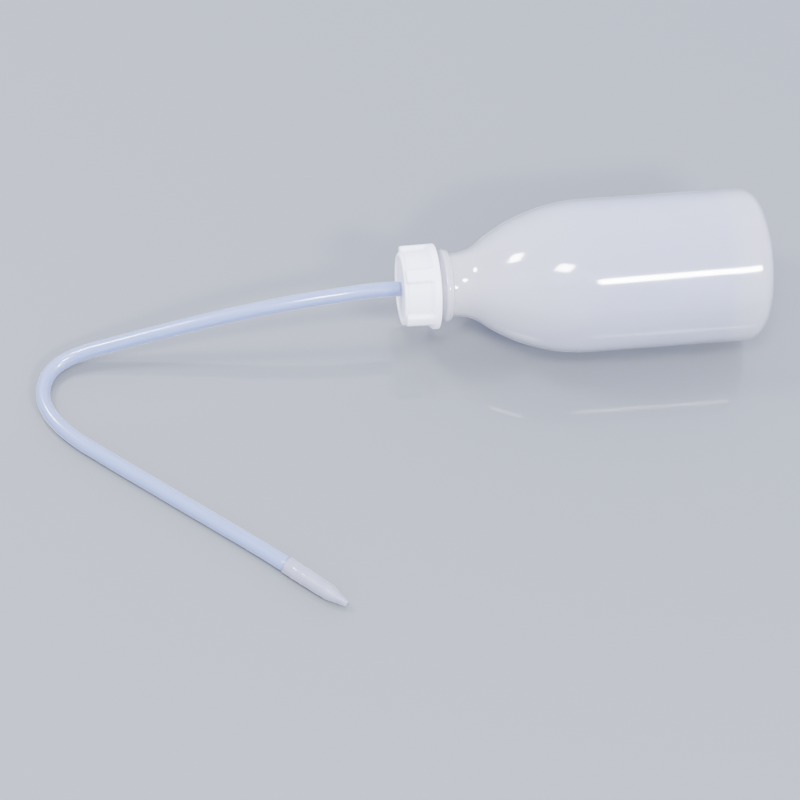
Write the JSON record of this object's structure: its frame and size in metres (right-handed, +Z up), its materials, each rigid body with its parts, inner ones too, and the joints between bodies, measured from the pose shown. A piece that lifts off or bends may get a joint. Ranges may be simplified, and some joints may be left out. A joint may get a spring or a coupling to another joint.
{
  "type": "gear oil pump",
  "caption": "Squeeze bottle with a screw cap, inner dip tube and long bent delivery hose ending in a tapered nozzle, for pumping gear oil.",
  "frame": {"origin": "on the surface that the bottle lies on, under the middle of the bottle and its cap", "axes": "+X along the bottle's axis towards its base, +Z up, -Y towards the side where the hose comes back"},
  "size_m": [0.2899, 0.1526, 0.0609],
  "materials": {
    "bottle_wall": "blow-moulded natural low-density polyethylene, milky and translucent, waxy gloss",
    "cap_plastic": "injection-moulded white polyethylene, satin",
    "seal_foam": "soft white sealing sheet",
    "tube_plastic": "extruded natural polyethylene tube, translucent, smooth",
    "nozzle_plastic": "moulded natural polyethylene, milky"
  },
  "bodies": {
    "bottle": {"squeeze_bottle": "bottle_wall"},
    "seal": {"mouth_seal": "seal_foam"},
    "cap": {"screw_cap": "cap_plastic"},
    "tube": {"dip_tube": "tube_plastic", "delivery_hose": "tube_plastic", "nozzle_tip": "nozzle_plastic"}
  },
  "joints": [
    {"name": "cap_lift", "type": "slide", "parent": "bottle", "child": "seal", "axis": [-1, 0, 0], "range_m": [0, 0.00525]},
    {"name": "cap_turn", "type": "hinge", "parent": "seal", "child": "cap", "pos_m": [-0.0653, 0, 0.03044], "axis": [-1, 0, 0], "range_deg": [0, 540.1]},
    {"name": "hose_swivel", "type": "hinge", "parent": "seal", "child": "tube", "pos_m": [-0.0718, 0, 0.03044], "axis": [-1, 0, 0], "range_deg": [-180, 180]}
  ],
  "couplings": [
    {"joint": "cap_turn", "follows": "cap_lift", "rad_per_m": 1795.2}
  ]
}
